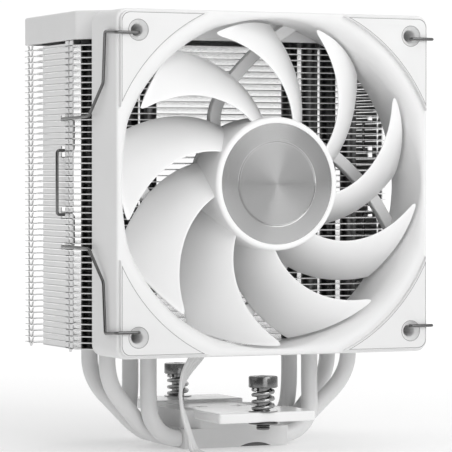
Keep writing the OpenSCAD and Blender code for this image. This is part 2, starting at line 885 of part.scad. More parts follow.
fan_frame();
front_corner_pads();
rear_corner_pads();
sleeve_bearing();
bearing_cap();
stator_core();
stator_windings();
fan_circuit_board();
strut_lead();
impeller();
hub_badge();
rotor_yoke();
rotor_magnet();
fan_shaft();
shaft_clip();
cooling_fins();
top_cover();
front_outer_heat_pipe();
front_inner_heat_pipe();
rear_inner_heat_pipe();
rear_outer_heat_pipe();
base_block();
mounting_bracket();
bracket_screws();
spring_washers();
front_screw_spring();
front_retaining_clip();
front_mounting_screw();
rear_screw_spring();
rear_retaining_clip();
rear_mounting_screw();
left_fan_clip();
right_fan_clip();
fan_cable();
cable_coil();
cable_tail();
cable_connector();
connector_contacts();
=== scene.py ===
"""Looks of a CPU tower cooler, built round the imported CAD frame.

Lengths are millimetres in the row's axes, scaled to metres by MM where a mesh is made.
Fan pieces are laid out as (x, y, depth): x right, y up from the fan axis, depth forwards.
"""
import math

import bmesh
import bpy
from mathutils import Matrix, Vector


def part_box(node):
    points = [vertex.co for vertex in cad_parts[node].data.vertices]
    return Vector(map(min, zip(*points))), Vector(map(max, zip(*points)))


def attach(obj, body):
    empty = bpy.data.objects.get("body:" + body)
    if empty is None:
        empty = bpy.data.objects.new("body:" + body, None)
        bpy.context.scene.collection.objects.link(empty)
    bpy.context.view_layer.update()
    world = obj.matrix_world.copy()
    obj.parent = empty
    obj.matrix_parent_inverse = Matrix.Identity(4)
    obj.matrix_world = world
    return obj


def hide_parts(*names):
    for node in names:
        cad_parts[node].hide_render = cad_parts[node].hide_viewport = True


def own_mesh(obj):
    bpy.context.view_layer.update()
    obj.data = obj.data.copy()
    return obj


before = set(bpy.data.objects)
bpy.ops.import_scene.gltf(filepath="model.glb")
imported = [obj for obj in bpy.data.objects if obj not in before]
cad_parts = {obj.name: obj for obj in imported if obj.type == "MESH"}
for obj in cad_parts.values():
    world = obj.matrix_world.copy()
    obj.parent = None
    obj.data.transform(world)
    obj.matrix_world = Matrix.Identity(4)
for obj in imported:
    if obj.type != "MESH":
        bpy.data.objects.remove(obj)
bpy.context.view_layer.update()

MM = 0.001


def limits(node):
    """The node's lowest and highest corners in millimetres."""
    low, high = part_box(node)
    return low / MM, high / MM


# ---- sizes taken from the frame ----

frame_low, frame_high = limits("fan_frame")
fin_low, fin_high = limits("cooling_fins")
cover_low, cover_high = limits("top_cover")
badge_low, badge_high = limits("hub_badge")
impeller_low, impeller_high = limits("impeller")
spring_low, spring_high = limits("front_screw_spring")

AXIS_Z = (frame_low.z + frame_high.z) / 2
FRAME_HALF = (frame_high.x - frame_low.x) / 2
FRAME_FRONT = -frame_low.y
FRAME_BACK = -frame_high.y
PAD_FRONT = -limits("front_corner_pads")[0].y
REAR_PAD_BACK = -limits("rear_corner_pads")[1].y
CORNERS = [(sx, sy) for sx in (-1, 1) for sy in (-1, 1)]
HOLE_REACH = 52.5
DUCT_R = 57.7
HUB_R = 23.35

# ---- mesh helpers ----


def link(obj):
    bpy.context.scene.collection.objects.link(obj)
    return obj


def flatten(obj):
    """Lets large faces set the shading of the points they share with narrow bevels."""
    step = obj.modifiers.new("flat_faces", "WEIGHTED_NORMAL")
    step.keep_sharp = True
    step.weight = 80


def mark_sharp(mesh, degrees):
    mesh.shade_smooth()
    mesh.set_sharp_from_angle(angle=math.radians(degrees))


def mesh_piece(name, shape, sharp=32):
    """An object from (points, faces), smooth except at edges sharper than sharp degrees."""
    points, faces = shape
    mesh = bpy.data.meshes.new(name)
    mesh.from_pydata([Vector(p) * MM for p in points], [], faces)
    tidy = bmesh.new()
    tidy.from_mesh(mesh)
    bmesh.ops.remove_doubles(tidy, verts=tidy.verts, dist=1e-7)
    bmesh.ops.recalc_face_normals(tidy, faces=tidy.faces)
    tidy.to_mesh(mesh)
    tidy.free()
    mark_sharp(mesh, sharp)
    return link(bpy.data.objects.new(name, mesh))


def joined(*shapes):
    points, faces = [], []
    for more_points, more_faces in shapes:
        start = len(points)
        points += more_points
        faces += [tuple(i + start for i in face) for face in more_faces]
    return points, faces


def moved(shape, change):
    """The shape with change applied to each of its points."""
    return [change(p) for p in shape[0]], shape[1]


def shifted(shape, x, y, z):
    return moved(shape, lambda p: p + Vector((x, y, z)))


def shares(steps):
    """Even shares from 0 to 1."""
    return [k / steps for k in range(steps + 1)]


def loft(rings, closed=False, caps=True, whole=True):
    """Skin over rings of equal length; closed joins the last ring to the first, and whole rings are loops."""
    n, count = len(rings[0]), len(rings)
    points = [p for ring in rings for p in ring]
    faces = []
    for i in range(count if closed else count - 1):
        a, b = i * n, (i + 1) % count * n
        for j in range(n if whole else n - 1):
            k = (j + 1) % n
            faces.append((a + j, a + k, b + k, b + j))
    if caps and not closed:
        faces.append(tuple(reversed(range(n))))
        faces.append(tuple(range((count - 1) * n, count * n)))
    return points, faces


def fan_point(x, y, depth):
    return Vector((x, -depth, AXIS_Z + y))


def polar(r, degrees, depth):
    a = math.radians(degrees)
    return fan_point(r * math.cos(a), r * math.sin(a), depth)


def spun(profile, steps=96, closed=False):
    """A profile of (radius, depth) turned about the fan axis."""
    rings = [[polar(r, 360 / steps * k, d) for r, d in profile] for k in range(steps)]
    return loft(rings, closed=True, whole=closed)


def turned(profile, at, steps=64, closed=False):
    """A profile of (radius, z) turned about an upright axis through at."""
    def upright(p):
        return Vector((p.x + at[0], p.z - AXIS_Z + at[1], -p.y))
    return moved(spun(profile, steps, closed), upright)


def arc(centre, r, start, end, steps):
    """Points on an arc in a plane, angles in degrees."""
    turns = [math.radians(start + (end - start) * t) for t in shares(steps)]
    return [(centre[0] + r * math.cos(t), centre[1] + r * math.sin(t)) for t in turns]


def quarter_turn(steps):
    """Angles in radians from nought to a right angle."""
    return [math.pi / 2 * t for t in shares(steps)]


def rectangle(x0, x1, y0, y1):
    return [(x0, y0), (x1, y0), (x1, y1), (x0, y1)]


def bar(x0, x1, y0, y1, z0, z1):
    return loft([[Vector((x, y, z)) for x, y in rectangle(x0, x1, y0, y1)] for z in (z0, z1)])


def rounded_rectangle(x0, y0, x1, y1, r, steps=5):
    corners = [(x1 - r, y1 - r, 0), (x0 + r, y1 - r, 90), (x0 + r, y0 + r, 180), (x1 - r, y0 + r, 270)]
    return [p for x, y, a in corners for p in arc((x, y), r, a, a + 90, steps)]


def corner_curve(before, here, after, reach, steps):
    """A short curve in place of the corner at here, starting at most reach from it."""
    a = here + (before - here).normalized() * min(reach, (before - here).length * 0.45)
    b = here + (after - here).normalized() * min(reach, (after - here).length * 0.45)
    return [a * (1 - t) ** 2 + here * 2 * t * (1 - t) + b * t * t for t in shares(steps)]


def softened(outline, reach, steps=4):
    """An outline with curved corners."""
    corners = [Vector(p) for p in outline]
    around = zip(corners[-1:] + corners, corners, corners[1:] + corners[:1])
    return [tuple(p) for turn in around for p in corner_curve(*turn, reach, steps)]


def plate(outlines, low, high, bevel=0.3, resolution=2):
    """A flat plate from 2D outlines, holes included, between two heights, with rounded edges."""
    curve = bpy.data.curves.new("plate", "CURVE")
    curve.dimensions = "2D"
    curve.fill_mode = "BOTH"
    curve.extrude = ((high - low) / 2 - bevel) * MM
    curve.bevel_depth = bevel * MM
    curve.bevel_resolution = resolution
    curve.offset = -bevel * MM
    for outline in outlines:
        spline = curve.splines.new("POLY")
        spline.points.add(len(outline) - 1)
        for point, (x, y) in zip(spline.points, outline):
            point.co = (x * MM, y * MM, 0, 1)
        spline.use_cyclic_u = True
    obj = link(bpy.data.objects.new("plate", curve))
    graph = bpy.context.evaluated_depsgraph_get()
    mesh = bpy.data.meshes.new_from_object(obj.evaluated_get(graph))
    middle = (low + high) / 2
    points = [Vector((v.co.x / MM, v.co.y / MM, v.co.z / MM + middle)) for v in mesh.vertices]
    faces = [tuple(f.vertices) for f in mesh.polygons]
    bpy.data.objects.remove(obj)
    bpy.data.curves.remove(curve)
    bpy.data.meshes.remove(mesh)
    return points, faces


def fan_plate(outlines, back, front, bevel=0.3, resolution=2):
    """A plate that lies square to the fan axis."""
    return moved(plate(outlines, back, front, bevel, resolution), lambda p: fan_point(p.x, p.y, p.z))


def cut(obj, *cutters, sharp=32):
    """Cuts shapes out of a piece, for good, and marks its sharp edges again."""
    for shape in cutters:
        tool = mesh_piece("cutter", shape)
        step = obj.modifiers.new("cut", "BOOLEAN")
        step.object = tool
        step.solver = "EXACT"
        graph = bpy.context.evaluated_depsgraph_get()
        mesh = bpy.data.meshes.new_from_object(obj.evaluated_get(graph))
        obj.modifiers.clear()
        obj.data = mesh
        bpy.data.objects.remove(tool)
    mark_sharp(obj.data, sharp)


def tube(path, section, across=None):
    """Sweeps a section of (wide, thin) offsets along a path, its wide side turned to across."""
    rings = []
    wide = None
    for i, p in enumerate(path):
        along = (path[min(i + 1, len(path) - 1)] - path[max(i - 1, 0)]).normalized()
        hint = across[i] if across else (wide if wide else Vector((0.3, 0.5, 0.8)))
        wide = (hint - hint.dot(along) * along).normalized()
        thin = wide.cross(along)
        rings.append([p + wide * u + thin * v for u, v in section])
    return loft(rings)


def round_section(r, sides):
    return [(x, y) for x, y in arc((0, 0), r, 0, 360 - 360 / sides, sides - 1)]


def eased(points, reach, steps=5):
    """A path whose inner corners are turned into short curves."""
    path = [points[0]]
    for turn in zip(points, points[1:], points[2:]):
        path += corner_curve(*turn, reach, steps)
    return path + [points[-1]]


def flowing(points, steps):
    """A smooth curve through points, with steps between neighbours."""
    path = []
    last = len(points) - 1
    for i in range(last):
        a, b, c, d = (points[max(i - 1, 0)], points[i], points[i + 1], points[min(i + 2, last)])
        for k in range(steps):
            t = k / steps
            path.append(0.5 * (2 * b + (c - a) * t + (2 * a - 5 * b + 4 * c - d) * t * t
                               + (3 * b - a - 3 * c + d) * t ** 3))
    return path + [points[last]]


# ---- materials ----


class Finish:
    """A material under construction: its principled shader and the nodes that feed it."""

    def __init__(self, name, colour, roughness, metallic=0.0, **more):
        self.material = bpy.data.materials.new(name)
        self.material.use_nodes = True
        self.tree = self.material.node_tree
        self.shader = self.tree.nodes["Principled BSDF"]
        self.shader.inputs["Base Color"].default_value = (*colour, 1)
        self.shader.inputs["Roughness"].default_value = roughness
        self.shader.inputs["Metallic"].default_value = metallic
        for key, value in more.items():
            self.shader.inputs[key].default_value = value
        self.place = self.node("ShaderNodeTexCoord").outputs["Object"]
        self.height = None

    def node(self, kind, **settings):
        node = self.tree.nodes.new(kind)
        for key, value in settings.items():
            setattr(node, key, value)
        return node

    def wire(self, source, target):
        self.tree.links.new(source, target)

    def noise(self, size_mm, detail=3.0, stretch=(1, 1, 1)):
        """Noise whose features are about size_mm across."""
        mapping = self.node("ShaderNodeMapping")
        mapping.inputs["Scale"].default_value = stretch
        self.wire(self.place, mapping.inputs["Vector"])
        noise = self.node("ShaderNodeTexNoise")
        noise.inputs["Scale"].default_value = 1 / (size_mm * MM)
        noise.inputs["Detail"].default_value = detail
        self.wire(mapping.outputs["Vector"], noise.inputs["Vector"])
        return noise.outputs["Fac"]

    def spread(self, source, low, high, start=0.3, end=0.7):
        """Maps source from start..end to low..high."""
        span = self.node("ShaderNodeMapRange")
        for key, value in (("From Min", start), ("From Max", end), ("To Min", low), ("To Max", high)):
            span.inputs[key].default_value = value
        self.wire(source, span.inputs["Value"])
        return span.outputs["Result"]

    def colours(self, source, dark, light, start=0.3, end=0.7):
        ramp = self.node("ShaderNodeValToRGB")
        ramp.color_ramp.elements[0].position = start
        ramp.color_ramp.elements[1].position = end
        ramp.color_ramp.elements[0].color = (*dark, 1)
        ramp.color_ramp.elements[1].color = (*light, 1)
        self.wire(source, ramp.inputs["Fac"])
        self.wire(ramp.outputs["Color"], self.shader.inputs["Base Color"])

    def vary_roughness(self, source, low, high):
        self.wire(self.spread(source, low, high), self.shader.inputs["Roughness"])

    def bump(self, source, depth_mm, strength=1.0):
        bump = self.node("ShaderNodeBump")
        bump.inputs["Strength"].default_value = strength
        bump.inputs["Distance"].default_value = depth_mm * MM
        self.wire(source, bump.inputs["Height"])
        if self.height:
            self.wire(self.height, bump.inputs["Normal"])
        self.height = bump.outputs["Normal"]
        self.wire(self.height, self.shader.inputs["Normal"])


def moulded(name, tone, roughness=0.45, grain_mm=0.35, depth_mm=0.012):
    """Moulded plastic: spark-eroded grain, faint flow mottling and uneven sheen."""
    finish = Finish(name, (tone,) * 3, roughness)
    finish.colours(finish.noise(22, 2), (tone * 0.975,) * 3, (tone,) * 3)
    finish.vary_roughness(finish.noise(6), roughness - 0.05, roughness + 0.06)
    finish.bump(finish.noise(grain_mm, 2), depth_mm)
    return finish


def coated(name, tone, roughness=0.4, peel=0.008):
    """Powder coat: orange peel over a hard, slightly glossy film."""
    finish = Finish(name, (tone,) * 3, roughness)
    finish.colours(finish.noise(14, 2), (tone * 0.975,) * 3, (tone,) * 3)
    finish.vary_roughness(finish.noise(3), roughness - 0.04, roughness + 0.05)
    finish.bump(finish.noise(0.9, 2), peel)
    return finish


def metal(name, tone, roughness, tint=(1, 1, 1), scratch=(1, 1, 12)):
    """Bare or plated metal with fine drawn scratches and smudges."""
    light = [tone * t for t in tint]
    finish = Finish(name, light, roughness, 1.0)
    finish.colours(finish.noise(5, 3), [c * 0.88 for c in light], light)
    finish.vary_roughness(finish.noise(1.2, 4, scratch), roughness - 0.06, roughness + 0.08)
    finish.bump(finish.noise(0.3, 3, scratch), 0.003)
    return finish


def spun_metal(name, tone, fine_mm, contrast):
    """Metal faced on a lathe: tool marks round the fan axis, which spread the highlight across them."""
    finish = Finish(name, (tone,) * 3, 0.3, 1.0, Anisotropic=0.95)
    finish.shader.inputs["Anisotropic Rotation"].default_value = 0.25
    tangent = finish.node("ShaderNodeTangent", direction_type="RADIAL", axis="Y")
    finish.wire(tangent.outputs["Tangent"], finish.shader.inputs["Tangent"])
    centred = finish.node("ShaderNodeMapping")
    centred.inputs["Location"].default_value = (0, 0, -AXIS_Z * MM)
    finish.wire(finish.place, centred.inputs["Vector"])
    parts = finish.node("ShaderNodeSeparateXYZ")
    finish.wire(centred.outputs["Vector"], parts.inputs["Vector"])
    flat = finish.node("ShaderNodeCombineXYZ")
    finish.wire(parts.outputs["X"], flat.inputs["X"])
    finish.wire(parts.outputs["Z"], flat.inputs["Y"])
    radius = finish.node("ShaderNodeVectorMath", operation="LENGTH")
    finish.wire(flat.outputs["Vector"], radius.inputs[0])
    rings = finish.node("ShaderNodeTexNoise", noise_dimensions="1D")
    rings.inputs["Scale"].default_value = 1 / (fine_mm * MM)
    rings.inputs["Detail"].default_value = 2
    finish.wire(radius.outputs["Value"], rings.inputs["W"])
    finish.colours(rings.outputs["Fac"], (tone * (1 - contrast),) * 3, (tone,) * 3, 0.2, 0.8)
    finish.vary_roughness(rings.outputs["Fac"], 0.17, 0.23)
    finish.bump(rings.outputs["Fac"], 0.001, 0.25)
    return finish


def paint(obj, finish):
    obj.data.materials.clear()
    obj.data.materials.append(finish.material)


def shade_faces(obj, finish, chosen):
    """Gives the faces that chosen picks a second finish."""
    obj.data.materials.append(finish.material)
    for face in obj.data.polygons:
        face.material_index = 1 if chosen(face) else 0


def dress(obj, finish, body, slot, *nodes):
    """Gives a piece its material and the body it rides on, and hides the CAD nodes that it stands for; slot
    is not used.
    """
    paint(obj, finish)
    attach(obj, body)
    if nodes:
        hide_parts(*nodes)


FRAME_WHITE = moulded("frame_white", 0.82)
BLADE_WHITE = moulded("blade_white", 0.9, 0.4, 0.3, 0.008)
PAD_WHITE = moulded("pad_white", 0.78, 0.62, 0.25, 0.012)
# Grey for the strips that stand in for the pads' grooves: painted shade.
GROOVE_SHADE = moulded("groove_painted_shade", 0.3, 0.8)
BADGE_METAL = spun_metal("badge_metal", 0.5, 0.12, 0.1)
FIN_WHITE = coated("fin_white", 0.84, 0.38)
# Darker reflective metal for the fins' flat faces: painted shade between the fins.
FIN_FACE_SHADE = metal("fin_face_painted_shade", 0.5, 0.12, scratch=(1, 1, 1))
COVER_WHITE = coated("cover_white", 0.8, 0.36)
PIPE_WHITE = coated("pipe_white", 0.78, 0.42)
BASE_GREY = coated("base_grey", 0.72, 0.42, 0.001)
BRACKET_WHITE = coated("bracket_white", 0.88, 0.18, 0.001)
NICKEL = metal("dark_nickel", 0.22, 0.2)
SPRING_STEEL = metal("spring_steel", 0.42, 0.14, scratch=(1, 1, 1))
# Dark steel for the clip rings and shaft clip; also painted shade inside the fin stack and in the base's
# front notch.
DARK_STEEL_AND_SHADE = metal("dark_steel_and_shade", 0.16, 0.35)
CLIP_STEEL = metal("clip_wire", 0.16, 0.13)
CABLE_WHITE = moulded("cable_white", 0.74, 0.55, 0.5, 0.01)
CONNECTOR_WHITE = moulded("connector_white", 0.8, 0.3)
CONTACT_TIN = metal("contact_tin", 0.6, 0.3, (1, 0.86, 0.6))
BRONZE = metal("sintered_bronze", 0.45, 0.55, (1, 0.72, 0.42), (1, 1, 1))
COPPER = metal("enamelled_copper", 0.6, 0.3, (1, 0.5, 0.3), (10, 1, 1))
LAMINATED = metal("laminated_steel", 0.3, 0.45, scratch=(1, 14, 1))
FERRITE = moulded("bonded_ferrite", 0.03, 0.6)
BOARD_GREEN = Finish("board_green", (0.01, 0.09, 0.04), 0.3)
BOARD_GREEN.colours(BOARD_GREEN.noise(2.5, 2), (0.008, 0.07, 0.03), (0.015, 0.11, 0.05))

# ---- camera, light and floor ----

CAMERA_AT = Vector((-414.3, -922.3, 97.2))
CAMERA_YAW = math.radians(24.334)
CAMERA_DIP = math.radians(1.005)
LENS = 220.5
FLOOR_Z = -0.3
FLOOR_R = 9000


def make_camera():
    camera = link(bpy.data.objects.new("camera", bpy.data.cameras.new("camera")))
    ahead = Vector((math.sin(CAMERA_YAW) * math.cos(CAMERA_DIP),
                    math.cos(CAMERA_YAW) * math.cos(CAMERA_DIP), -math.sin(CAMERA_DIP)))
    camera.location = CAMERA_AT * MM
    camera.rotation_euler = ahead.to_track_quat("-Z", "Y").to_euler()
    camera.data.sensor_width = 36
    camera.data.lens = LENS
    camera.data.clip_start = 0.01
    camera.data.clip_end = 50
    bpy.context.scene.camera = camera


def make_floor():
    """A wide pale floor that glows more away from the cooler, so that it melts into the backdrop."""
    profile = [(r, FLOOR_Z) for r in (0.001, 300, 1000, FLOOR_R)]
    floor = mesh_piece("studio_floor", turned(profile, (0, 0), 64), 80)
    finish = Finish("studio_white", (0.7, 0.7, 0.7), 0.9, **{"Emission Strength": 1.0})
    finish.colours(finish.noise(300, 1), (0.695,) * 3, (0.7,) * 3)
    reach = finish.node("ShaderNodeVectorMath", operation="LENGTH")
    finish.wire(finish.place, reach.inputs[0])
    glow = finish.spread(reach.outputs["Value"], 0.3, 0.6, 0.15, 1.2)
    finish.wire(glow, finish.shader.inputs["Emission Color"])
    paint(floor, finish)


def area_light(name, at, aim, size, watts):
    """A soft rectangular lamp; its places and size are in metres."""
    light = link(bpy.data.objects.new(name, bpy.data.lights.new(name, "AREA")))
    light.data.shape = "RECTANGLE"
    light.data.size, light.data.size_y = size
    light.data.energy = watts
    light.location = at
    light.rotation_euler = (Vector(aim) - Vector(at)).to_track_quat("-Z", "Y").to_euler()


def make_light():
    """A dim room that is bright overhead, a white backdrop beyond the cooler and two soft lamps."""
    world = bpy.data.worlds.new("studio")
    world.use_nodes = True
    tree = world.node_tree
    place = tree.nodes.new("ShaderNodeTexCoord")

    def glow(way, low, high, dim, bright):
        """Brightness that grows from dim to bright as a direction turns towards way."""
        dot = tree.nodes.new("ShaderNodeVectorMath")
        dot.operation = "DOT_PRODUCT"
        dot.inputs[1].default_value = way
        tree.links.new(place.outputs["Generated"], dot.inputs[0])
        span = tree.nodes.new("ShaderNodeMapRange")
        span.interpolation_type = "SMOOTHSTEP"
        for key, value in (("From Min", low), ("From Max", high), ("To Min", dim), ("To Max", bright)):
            span.inputs[key].default_value = value
        tree.links.new(dot.outputs["Value"], span.inputs["Value"])
        return span.outputs["Result"]

    total = tree.nodes.new("ShaderNodeMath")
    total.operation = "MAXIMUM"
    tree.links.new(glow((0.25, 0.25, 0.93), -0.2, 0.8, 0.16, 0.95), total.inputs[0])
    tree.links.new(glow((0.41, 0.91, 0), 0.74, 0.96, 0.0, 1.03), total.inputs[1])
    tree.links.new(total.outputs["Value"], tree.nodes["Background"].inputs["Color"])
    tree.nodes["Background"].inputs["Strength"].default_value = 1.0
    bpy.context.scene.world = world
    area_light("key", (0.35, -1.5, 0.9), (0, 0, 0.09), (1.2, 0.9), 10)
    area_light("fill", (-0.25, -1.9, 0.15), (0, 0, 0.06), (1.0, 0.9), 4.5)
    bpy.context.scene.view_settings.view_transform = "Standard"


make_camera()
make_floor()
make_light()

# ---- the cable, which the camera sees from the fan to the edge of its view ----

CABLE_W = 5.4
CABLE_WIRES = 4
CABLE_ROUTE = [
    ((-20.3, -28.9, 38.2), (1, 0, 0)), ((-20.3, -28.9, 36.4), (1, 0, 0)),
    ((-21.3, -28.9, 34.4), (1, 0.1, 0)), ((-23, -28.8, 32.2), (1, 0.2, 0)),
    ((-25.1, -28.4, 29), (1, 0.5, 0)), ((-26.5, -28, 25.5), (1, 1.1, 0)),
    ((-27.3, -27.8, 21.5), (1, 2.3, 0)), ((-27.1, -27.9, 17.5), (1, 2.2, 0)),
    ((-26.3, -28.5, 13), (1, 1.6, 0)), ((-25.6, -29.8, 9), (1, 1.4, 0)),
    ((-25.3, -32, 5.5), (1, 1.4, 0)), ((-25.5, -35, 2.8), (1, 1.2, 0)),
    ((-25.9, -39.5, 1.2), (1, 0.6, 0)), ((-26.3, -47, 0.75), (1, 0, 0)),
    ((-27.5, -57, 0.75), (1, 0, 0)), ((-30, -67, 0.8), (1, 0, 0)),
    ((-33.5, -77, 1.6), (1, 0, 0.3)), ((-37.8, -87, 2.5), (1, 0, 0.9)),
    ((-42, -97, 2.9), (0.4, 0, 1)), ((-46, -107, 2.8), (0, 0, 1)),
    ((-49, -117, 2.8), (0, 0, 1)),
]
COIL_AT = (-20, -126)
COIL_R = (30.4, 27.7)
COIL_Z = CABLE_W / 2 + 0.1
COIL_TURNS = 1.25
COIL_STEPS = 24
TAIL_ROUTE = [(-15, -153, 2.8), (-9.5, -150.5, 2.8), (-6, -146, 2.8), (-5, -140, 2.8), (-5, -134, 2.8)]


def coil_points():
    """The ribbon stands on its edge and winds anticlockwise, each turn inside the one before."""
    steps = round(COIL_STEPS * COIL_TURNS)
    points = []
    for t in shares(steps):
        r = COIL_R[0] + (COIL_R[1] - COIL_R[0]) * t
        a = math.radians(180 + 360 * COIL_TURNS * t)
        points.append(Vector((COIL_AT[0] + r * math.cos(a), COIL_AT[1] + r * math.sin(a), COIL_Z)))
    return points


def make_cable():
    coil = coil_points()
    tail = [Vector(p) for p in TAIL_ROUTE]
    knots = [Vector(p) for p, _ in CABLE_ROUTE] + coil + tail
    ways = [Vector(w).normalized() for _, w in CABLE_ROUTE] + [Vector((0, 0, 1))] * (len(coil) + len(tail))
    steps = 4
    path = flowing(knots, steps)
    across = flowing(ways, steps)
    pitch = CABLE_W / CABLE_WIRES
    # Four round-backed wires side by side, joined along their edges.
    top = []
    for w in range(CABLE_WIRES):
        middle = CABLE_W / 2 - pitch * (w + 0.5)
        top += arc((middle, 0), pitch / 2 * 0.97, 25, 155, 5)
    section = top + [(-u, -v) for u, v in top]
    cable = mesh_piece("fan_cable_ribbon", tube(path, section, across), 50)
    dress(cable, CABLE_WHITE, "cooler", "cable_white", "fan_cable", "cable_coil", "cable_tail")
    return cable, [p * MM for p in path]


cable, cable_path = make_cable()

# ---- fan frame and its pads ----

STRUT_W = 4.2
FRAME_HOLE_R = 2.15
FRONT_HOLE_R = 3.5
PAD_INSET = 1
REAR_PAD_HALF = 6.5


def frame_sides():
    """The frame's outer outline, with enough points on its straight sides for a round duct."""
    half = FRAME_HALF
    outline = rounded_rectangle(-half, -half, half, half, 4, 8)
    points = []
    for a, b in zip(outline, outline[1:] + outline[:1]):
        a, b = Vector(a), Vector(b)
        count = max(1, round((b - a).length / 2.4))
        points += [a + (b - a) * k / count for k in range(count)]
    return points


def frame_shell():
    """The body of the frame: rounded outer edges, a flared mouth and a plain duct."""
    edge = 0.9
    flare, flare_depth = 5.5, 7
    rings = []
    for b in frame_sides():
        reach = b.length
        way = b / reach
        lip = min(flare, reach - edge - 0.4 - DUCT_R)
        lip_depth = flare_depth * lip / flare
        profile = [(reach - edge * (1 - math.sin(t)), FRAME_BACK + edge * (1 - math.cos(t)))
                   for t in quarter_turn(4)]
        profile += [(reach - edge * (1 - math.cos(t)), FRAME_FRONT - edge * (1 - math.sin(t)))
                    for t in quarter_turn(4)]
        profile += [(DUCT_R + lip * (1 - math.sin(t)), FRAME_FRONT - lip_depth * (1 - math.cos(t)))
                    for t in quarter_turn(8)]
        profile += [(DUCT_R, FRAME_BACK + 0.5), (DUCT_R + 0.5, FRAME_BACK)]
        rings.append([fan_point(way.x * r, way.y * r, d) for r, d in profile])
    return loft(rings, closed=True)


def hole_outline(r, sides, sx, sy):
    return [(sx * HOLE_REACH + u, sy * HOLE_REACH + v) for u, v in round_section(r, sides)]


def strut_outline(turn):
    """One back strut, sweeping as it goes outwards, turned by an angle."""
    bends = [(19, 46.2), (24, 36), (30, 26.6), (36, 14), (43, 2), (50, -7), (59, -16.5)]
    line = flowing([Vector((r * math.cos(math.radians(a + turn)), r * math.sin(math.radians(a + turn)), 0))
                    for r, a in bends], 3)
    left, right = [], []
    for i, p in enumerate(line):
        along = (line[min(i + 1, len(line) - 1)] - line[max(i - 1, 0)]).normalized()
        side = Vector((-along.y, along.x, 0)) * STRUT_W / 2
        left.append((p + side).xy)
        right.append((p - side).xy)
    return [tuple(p) for p in left + right[::-1]]


def make_frame():
    strut_front = FRAME_BACK + 3.5
    plate_front = FRAME_BACK + 2.2
    tube_front = FRAME_BACK + 15
    struts = [fan_plate([strut_outline(90 * k)], FRAME_BACK, strut_front, 0.5) for k in range(4)]
    plate_r, plate_edge, bore, tube_r = 22.9, 0.4, 4, 5
    hub = spun([(bore, FRAME_BACK), (plate_r - plate_edge, FRAME_BACK), (plate_r, FRAME_BACK + plate_edge),
                (plate_r, plate_front - plate_edge), (plate_r - plate_edge, plate_front),
                (tube_r, plate_front), (tube_r, tube_front), (bore, tube_front)], closed=True)
    obj = mesh_piece("frame_body", frame_shell())
    holes = [loft([[fan_point(x, y, d) for x, y in hole_outline(FRAME_HOLE_R, 32, sx, sy)]
                   for d in (FRAME_BACK - 1, FRAME_FRONT + 1)]) for sx, sy in CORNERS]
    cable_x = CABLE_ROUTE[0][0][0]
    slot = loft([[fan_point(cable_x + u, -FRAME_HALF + v, d) for u, v in
                  rounded_rectangle(-3.9, -2, 3.4, 7.5, 0.6)] for d in (FRAME_BACK - 1, FRAME_BACK + 5)])
    cut(obj, joined(*holes), slot)
    inside = mesh_piece("frame_hub_and_struts", joined(hub, *struts))
    for piece in (obj, inside):
        dress(piece, FRAME_WHITE, "cooler", "white_plastic")
    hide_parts("fan_frame")


def pad_outline(sx, sy, inset=0.0):
    """A front corner pad: two straight sides, a round corner and the duct's arc."""
    half, corner, arc_r = FRAME_HALF - PAD_INSET - inset, 3, 64.5 + inset
    end = math.degrees(math.acos(half / arc_r))
    points = arc((0, 0), arc_r, end, 90 - end, 24)
    points += arc((half - corner, half - corner), corner, 90, 0, 6)
    return [(x * sx, y * sy) for x, y in points]


def at_hole(shape, sx, sy):
    """A shape made round the fan axis, moved to a corner hole."""
    return shifted(shape, sx * HOLE_REACH, 0, sy * HOLE_REACH)


def make_front_pads():
    """Four rubber corners whose holes narrow from a wide mouth to the frame's own hole."""
    mouth = [(FRONT_HOLE_R, PAD_FRONT - 0.25), (3.3, PAD_FRONT - 0.5), (2.3, PAD_FRONT - 1.35),
             (FRAME_HOLE_R, PAD_FRONT - 1.6), (FRAME_HOLE_R, FRAME_FRONT - 0.5)]
    shapes = []
    for sx, sy in CORNERS:
        outlines = [pad_outline(sx, sy), hole_outline(FRONT_HOLE_R, 40, sx, sy)]
        shapes.append(fan_plate(outlines, FRAME_FRONT - 0.3, PAD_FRONT, 0.35, 3))
        shapes.append(at_hole(spun(mouth, 40), sx, sy))
    obj = mesh_piece("front_pads", joined(*shapes))
    dress(obj, PAD_WHITE, "cooler", "white_rubber", "front_corner_pads")


def make_pad_groove_shade():
    """Flat grey strips laid on the front pads along their edges and round their holes: painted shade that
    stands in for fine grooves.
    """
    depth = PAD_FRONT + 0.01
    shapes = []
    for sx, sy in CORNERS:
        edges = [[fan_point(x, y, depth) for x, y in pad_outline(sx, sy, inset)] for inset in (0.35, 0.55)]
        shapes.append(loft(edges, caps=False))
        ring = spun([(FRONT_HOLE_R + 0.25, depth), (FRONT_HOLE_R + 0.05, depth)], 40)
        shapes.append(at_hole(ring, sx, sy))
    obj = mesh_piece("pad_edge_groove_shade", joined(*shapes))
    dress(obj, GROOVE_SHADE, "cooler", "white_rubber")


def make_rear_pads():
    middle = FRAME_HALF - PAD_INSET - REAR_PAD_HALF
    shapes = []
    for sx, sy in CORNERS:
        square = rounded_rectangle(-REAR_PAD_HALF, -REAR_PAD_HALF, REAR_PAD_HALF, REAR_PAD_HALF, 3)
        outlines = [[(sx * middle + u, sy * middle + v) for u, v in square], hole_outline(2.3, 32, sx, sy)]
        shapes.append(fan_plate(outlines, REAR_PAD_BACK + 0.02, FRAME_BACK, 0.2))
    obj = mesh_piece("rear_pads", joined(*shapes))
    dress(obj, PAD_WHITE, "cooler", "white_rubber", "rear_corner_pads")


make_frame()
make_front_pads()
make_pad_groove_shade()
make_rear_pads()

# ---- impeller and badge ----

BLADES = 9
BLADE_PHASE = 31.7
BLADE_BACK = FRAME_BACK + 5.1
BLADE_FRONT = PAD_FRONT - 3.4
TIP_R = 56.8
TIP_ROUND = 2.6


